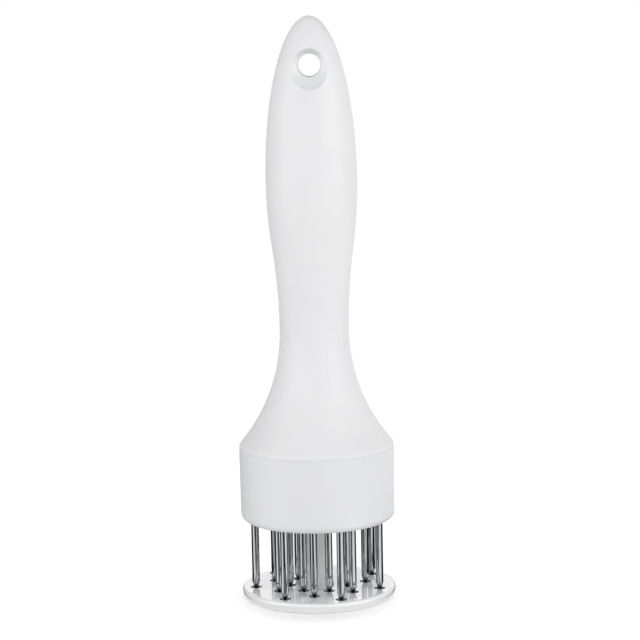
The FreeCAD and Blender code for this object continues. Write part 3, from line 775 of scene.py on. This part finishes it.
@dataclass
class ReturnSpring:
    """Compression spring with closed and ground ends, between the stop washer and the spring seat.

    ground_rise is how far the middle of the ground wire stands above the end face, as a share of its radius.
    """

    coil_radius: float = 5.0
    wire_radius: float = 0.45
    ground_rise: float = 0.3
    active_turns: float = 11.0
    end_turns: float = 1.0
    steps_per_turn: int = 36
    wire_sides: int = 14
    end_gap: float = 0.05
    seat_depth: float = 1.2

    def centre_line(self, low: float, high: float) -> tuple[np.ndarray, np.ndarray]:
        """Height of the wire's middle along its turns.

        The first and last turn climb one wire diameter, and the turns between climb evenly. The height is
        read off the piecewise straight line through those four places.

        Args:
            low: Height of the spring's lower end face in millimetres.
            high: Height of its upper end face in millimetres.

        Returns:
            The turn in radians and the height in millimetres of each step.
        """
        turns = self.active_turns + 2 * self.end_turns
        turn = np.linspace(0, turns, int(turns * self.steps_per_turn) + 1)
        lift = 2 * self.wire_radius * self.end_turns
        start = low + self.wire_radius * self.ground_rise
        stop = high - self.wire_radius * self.ground_rise
        height = np.interp(turn, [0, self.end_turns, turns - self.end_turns, turns],
                           [start, start + lift, stop - lift, stop])
        return turn * 2 * math.pi, height

    def make(self, low: float, high: float) -> bpy.types.Object:
        """Make the coil.

        A point at wire turn t and side s stands at radius coil + wire * cos s and height h(t) + wire * sin s.
        Heights past the end faces are drawn back to them, which grinds the ends flat.

        Args:
            low: Height of the lower end face in millimetres.
            high: Height of the upper end face in millimetres.

        Returns:
            The coil.
        """
        turn, height = self.centre_line(low, high)
        side = np.arange(self.wire_sides) * (2 * math.pi / self.wire_sides)
        across = self.coil_radius + self.wire_radius * np.cos(side)[None, :]
        level = np.clip(height[:, None] + self.wire_radius * np.sin(side)[None, :], low, high)
        points = np.stack([across * np.cos(turn)[:, None], across * np.sin(turn)[:, None], level], axis=-1)
        faces = grid_faces(len(turn), self.wire_sides, closed=True)[:, ::-1].tolist()
        start = np.arange(self.wire_sides)
        end = start[::-1] + (len(turn) - 1) * self.wire_sides
        faces += [start.tolist(), end.tolist()]
        # Drawn spring wire: mid-grey steel with a fine grain.
        finish = PlainMetal("spring_wire_drawn", "#9FA1A4", "#85888B", roughness=0.28, grain_mm=0.25)
        return new_piece("return_coil", points.reshape(-1, 3) * MM, faces, finish.material())

    def build(self) -> list[str]:
        """Fit the coil between washer and seat.

        Returns:
            The coil's name and its length at rest.
        """
        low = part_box("stem_washer")[1].z / MM + self.end_gap
        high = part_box("spring_seat")[1].z / MM - self.seat_depth - self.end_gap
        coil = self.make(low, high)
        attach(coil, "handle")
        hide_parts("return_spring")
        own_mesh(coil)
        return [f"{coil.name}, {high - low:.1f} mm long at rest"]


# ---------------------------------------------------------------- the studio


def add_sheet(name: str, grid: np.ndarray, material: bpy.types.Material) -> bpy.types.Object:
    """Add a sheet of the studio, which isn't part of the tool.

    Args:
        name: Name of the sheet.
        grid: Its points in metres, by row and column.
        material: Its finish.

    Returns:
        The new object.
    """
    rows, columns = grid.shape[:2]
    faces = grid_faces(rows, columns, closed=False).tolist()
    sheet = new_piece(name, grid.reshape(-1, 3), faces, material)
    return sheet


class Shade(Enum):
    """How much light a reflection finds on a studio card, 1 being white."""

    BLACK = 0.025
    DUSK = 0.23
    GREY = 0.36
    PALE = 0.77
    BRIGHT = 1.35

    def material(self) -> bpy.types.Material:
        """Build the even glow of this shade.

        Returns:
            An emission that doesn't depend on the lamps.
        """
        material, tree = new_material(f"card_{self.name.lower()}")
        even = add_node(tree, "Emission", {"Color": linear(WHITE), "Strength": self.value})
        add_node(tree, "OutputMaterial", {"Surface": even.outputs["Emission"]})
        return material


@dataclass
class Card:
    """Sheet of studio card that only reflections show."""

    name: str
    shade: Shade

    def grid(self) -> np.ndarray:
        """Points of the card in millimetres, by row and column, which each kind works out in its own way."""
        raise NotImplementedError

    def place(self, material: bpy.types.Material) -> None:
        """Put the card up, and hide it from everything but reflections.

        Args:
            material: The glow of its shade.
        """
        card = add_sheet(self.name, self.grid() * MM, material)
        for ray in ("camera", "diffuse", "shadow", "transmission", "volume_scatter"):
            setattr(card, f"visible_{ray}", False)


@dataclass
class FloorCard(Card):
    """Card on the floor near the tool, between two radii and two bearings that may widen outwards."""

    near: float
    far: float
    near_bearings: tuple[float, float]
    far_bearings: tuple[float, float]
    lift: float = 0.2
    rows: int = 5
    columns: int = 33

    def grid(self) -> np.ndarray:
        """Spread the points over the card.

        A point at bearing b and radius r stands at r * (sin b, -cos b), where bearing 0 is the front. Radius
        and bearing limits both run evenly from the near edge's to the far edge's.

        Returns:
            Points in millimetres, by row and column.
        """
        outwards = np.linspace(0, 1, self.rows)[:, None]
        across = np.linspace(0, 1, self.columns)[None, :]
        radius = self.near + (self.far - self.near) * outwards
        first = self.near_bearings[0] + (self.far_bearings[0] - self.near_bearings[0]) * outwards
        last = self.near_bearings[1] + (self.far_bearings[1] - self.near_bearings[1]) * outwards
        bearing = np.radians(first + (last - first) * across)
        level = np.full_like(bearing, self.lift)
        return np.stack([radius * np.sin(bearing), -radius * np.cos(bearing), level], axis=-1)


@dataclass
class Hood(Card):
    """Part of a hood behind the tool, between two turns about the line of sight and two polar angles."""

    turns: tuple[float, float]
    polar: tuple[float, float] = (100.0, 160.0)
    radius: float = 300.0
    centre: float = 100.0
    floor: float = 1.0
    rows: int = 9
    columns: int = 25

    def grid(self) -> np.ndarray:
        """Spread the points over the hood.

        A point at turn t about the line of sight, from the right over the top, and polar angle p from the
        front stands at radius * (sin p cos t, -cos p, sin p sin t) about the tool's middle. Points under
        the floor are raised to it.

        Returns:
            Points in millimetres, by row and column.
        """
        polar = np.radians(np.linspace(*self.polar, self.rows))[:, None]
        turn = np.radians(np.linspace(*self.turns, self.columns))[None, :]
        height = np.maximum(self.centre + self.radius * np.sin(polar) * np.sin(turn), self.floor)
        behind = np.broadcast_to(-self.radius * np.cos(polar), height.shape)
        return np.stack([self.radius * np.sin(polar) * np.cos(turn), behind, height], axis=-1)


@dataclass
class Softbox:
    """Rectangular area lamp that looks at the tool; its distance, size and target's height are in metres."""

    name: str
    bearing: float
    elevation: float
    radiance: float
    distance: float = 0.95
    width: float = 0.6
    height: float = 0.9
    target: float = 0.1

    def place(self) -> None:
        """Hang the lamp; its power is radiance times pi times its area."""
        bearing, elevation = math.radians(self.bearing), math.radians(self.elevation)
        away = Vector((
            math.sin(bearing) * math.cos(elevation),
            -math.cos(bearing) * math.cos(elevation),
            math.sin(elevation),
        ))
        data = bpy.data.lights.new(self.name, "AREA")
        data.shape = "RECTANGLE"
        data.size = self.width
        data.size_y = self.height
        data.energy = self.radiance * math.pi * self.width * self.height
        lamp = bpy.data.objects.new(self.name, data)
        lamp.location = Vector((0, 0, self.target)) + away * self.distance
        lamp.rotation_mode = "QUATERNION"
        lamp.rotation_quaternion = away.to_track_quat("Z", "Y")
        lamp.visible_camera = False
        bpy.context.scene.collection.objects.link(lamp)


@dataclass
class Studio:
    """White floor, white surroundings, softboxes and cards. The floor's own lengths are in metres.

    The floor's glow rises from painted_shadow_glow to floor_glow between the distances foot_from and foot_to
    from the tool's foot, which paints a shadow round the foot, and the floor turns plain white between
    white_from and white_at. A floor card is given by its near and far radius and the bearings that limit its
    near and its far edge, and a part of the hood by the turns that limit it.
    """

    floor_reach: float = 4.0
    floor_points: int = 9
    floor_drop: float = 0.00005
    floor_colour: str = "#F4F4F4"
    floor_glow: float = 0.44
    # Glow in the oval of painted shadow round the tool's foot.
    painted_shadow_glow: float = 0.10
    foot_from: float = 0.0196
    foot_to: float = 0.0370
    foot_ahead: float = 0.007
    foot_across: float = 1.15
    white_from: float = 0.25
    white_at: float = 0.6
    fill: float = 0.58
    lamps: tuple[Softbox, ...] = (
        Softbox("softbox_left", bearing=-65, elevation=8, radiance=1.26),
        Softbox("softbox_front_left", bearing=-35, elevation=8, radiance=0.72),
        Softbox("softbox_front_right", bearing=35, elevation=8, radiance=0.78),
        Softbox("softbox_right", bearing=65, elevation=8, radiance=1.58),
        Softbox("softbox_top", bearing=0, elevation=76, radiance=0.21),
        Softbox("softbox_behind", bearing=180, elevation=30, radiance=0.3),
    )
    cards: tuple[Card, ...] = (
        FloorCard("card_behind", Shade.BLACK, 28, 130, (64, 290), (68, 286)),
        FloorCard("card_left", Shade.BLACK, 130, 400, (195, 262), (195, 262)),
        FloorCard("card_front_near", Shade.DUSK, 28, 62, (-38, 16), (-38, 16)),
        FloorCard("card_front_far", Shade.BLACK, 62, 170, (-20, 8), (-34, 20)),
        FloorCard("card_front_left", Shade.DUSK, 62, 170, (-38, -20), (-44, -34)),
        FloorCard("card_bright_left", Shade.BRIGHT, 38, 170, (-70, -38), (-74, -44)),
        FloorCard("card_bright_right", Shade.BRIGHT, 38, 170, (17, 64), (20, 68)),
        FloorCard("card_foot_left", Shade.DUSK, 28, 38, (-71, -38), (-71, -38)),
        FloorCard("card_foot_right", Shade.DUSK, 28, 38, (16, 65), (16, 65)),
        Hood("hood_right", Shade.PALE, (-30, 45)),
        Hood("hood_top", Shade.GREY, (45, 135)),
        Hood("hood_left", Shade.GREY, (135, 210)),
    )

    def shown_rays(self, tree: Tree) -> Socket:
        """Tell what the camera and reflections see from the light that falls on the tool.

        Args:
            tree: Node tree that takes the nodes.

        Returns:
            A share that is 1 for camera, glossy and transmission rays and 0 for all others.
        """
        rays = add_node(tree, "LightPath").outputs
        shown = rays["Is Camera Ray"]
        for ray in ("Is Glossy Ray", "Is Transmission Ray"):
            shown = add_node(tree, "Math", {0: shown, 1: rays[ray]}, operation="MAXIMUM").outputs["Value"]
        return shown

    def make_world(self) -> None:
        """White to look at, and a dimmer even fill on the tool."""
        world = bpy.data.worlds.new("studio_white")
        world.use_nodes = True
        bpy.context.scene.world = world
        tree = world.node_tree
        tree.nodes.clear()
        shown = add_node(tree, "Background", {"Color": linear(WHITE), "Strength": 1.0})
        fill = add_node(tree, "Background", {"Color": linear(WHITE), "Strength": self.fill})
        mix = add_node(tree, "MixShader", {
            0: self.shown_rays(tree),
            1: fill.outputs["Background"],
            2: shown.outputs["Background"],
        })
        add_node(tree, "OutputWorld", {"Surface": mix.outputs["Shader"]})

    def make_floor(self) -> None:
        """Large pale sheet that keeps the tool's shadow near it and is plain white further off.

        Its glow is weakest in an oval round the tool's foot, a little ahead of it, which adds a painted
        shadow to the real one where the disc meets the floor.
        """
        material, tree = new_material("paper_white")
        place = add_node(tree, "TexCoord").outputs["Object"]
        oval = {"Vector": place, "Location": (0, self.foot_ahead, 0), "Scale": (self.foot_across, 1, 1)}
        foot = add_node(tree, "Mapping", oval).outputs["Vector"]
        from_foot = add_node(tree, "VectorMath", {0: foot}, operation="LENGTH").outputs["Value"]
        # Painted shadow: the glow dims in an oval round the tool's foot.
        strength = add_node(tree, "MapRange", {
            "Value": from_foot,
            "From Min": self.foot_from,
            "From Max": self.foot_to,
            "To Min": self.painted_shadow_glow,
            "To Max": self.floor_glow,
        }).outputs["Result"]
        away = add_node(tree, "VectorMath", {0: place}, operation="LENGTH").outputs["Value"]
        limits = {"Value": away, "From Min": self.white_from, "From Max": self.white_at}
        distant = add_node(tree, "MapRange", limits).outputs["Result"]

        matt = add_node(tree, "BsdfDiffuse", {"Color": linear(self.floor_colour)}).outputs["BSDF"]
        lift = add_node(tree, "Emission", {"Color": linear(WHITE), "Strength": strength})
        near = add_node(tree, "AddShader", {0: matt, 1: lift.outputs["Emission"]}).outputs["Shader"]
        white = add_node(tree, "Emission", {"Color": linear(WHITE), "Strength": 1.0}).outputs["Emission"]
        shown = add_node(tree, "MixShader", {0: distant, 1: near, 2: white}).outputs["Shader"]
        mix = add_node(tree, "MixShader", {0: self.shown_rays(tree), 1: matt, 2: shown})
        add_node(tree, "OutputMaterial", {"Surface": mix.outputs["Shader"]})

        reach = np.linspace(-self.floor_reach, self.floor_reach, self.floor_points)
        across, along = np.meshgrid(reach, reach)
        level = np.full_like(across, -self.floor_drop)
        add_sheet("floor", np.stack([across, along, level], axis=-1), material)

    def build(self) -> list[str]:
        """Set up the world, the floor, the lamps and the cards.

        Returns:
            Names of the lamps and the cards.
        """
        self.make_world()
        self.make_floor()
        for lamp in self.lamps:
            lamp.place()
        glows = {shade: shade.material() for shade in Shade}
        for card in self.cards:
            card.place(glows[card.shade])
        return [item.name for item in self.lamps + self.cards]


@dataclass
class Viewpoint:
    """Camera a little above the tool's middle and in front of it, with its place in millimetres.

    The near and far limits of its sight are in metres.
    """

    location: tuple[float, float, float] = (2.01, -678.4, 188.8)
    pitch: float = 7.775
    roll: float = -1.1
    lens: float = 112.19
    sensor: float = 36.0
    sight: tuple[float, float] = (0.01, 20.0)

    def place(self) -> None:
        """Add the camera and make it the scene's; roll turns it about its own line of sight."""
        data = bpy.data.cameras.new("camera")
        data.lens = self.lens
        data.sensor_width = self.sensor
        data.clip_start, data.clip_end = self.sight
        camera = bpy.data.objects.new("camera", data)
        bpy.context.scene.collection.objects.link(camera)
        tilt = Matrix.Rotation(math.radians(90 - self.pitch), 4, "X")
        lean = Matrix.Rotation(math.radians(self.roll), 4, "Z")
        camera.matrix_world = Matrix.Translation(Vector(self.location) * MM) @ tilt @ lean
        bpy.context.scene.camera = camera


def main() -> None:
    """Build the sub-assemblies and the studio in order, and report each piece."""
    logging.basicConfig(level=logging.INFO, format="%(name)s: %(message)s")
    bpy.context.scene.view_settings.view_transform = "Standard"
    Viewpoint().place()
    for assembly in (Casing(), ProngPack(), Guard(), ReturnSpring(), Studio()):
        for piece in assembly.build():
            LOG.info("%s: %s", type(assembly).__name__, piece)


if __name__ == "__main__":
    main()
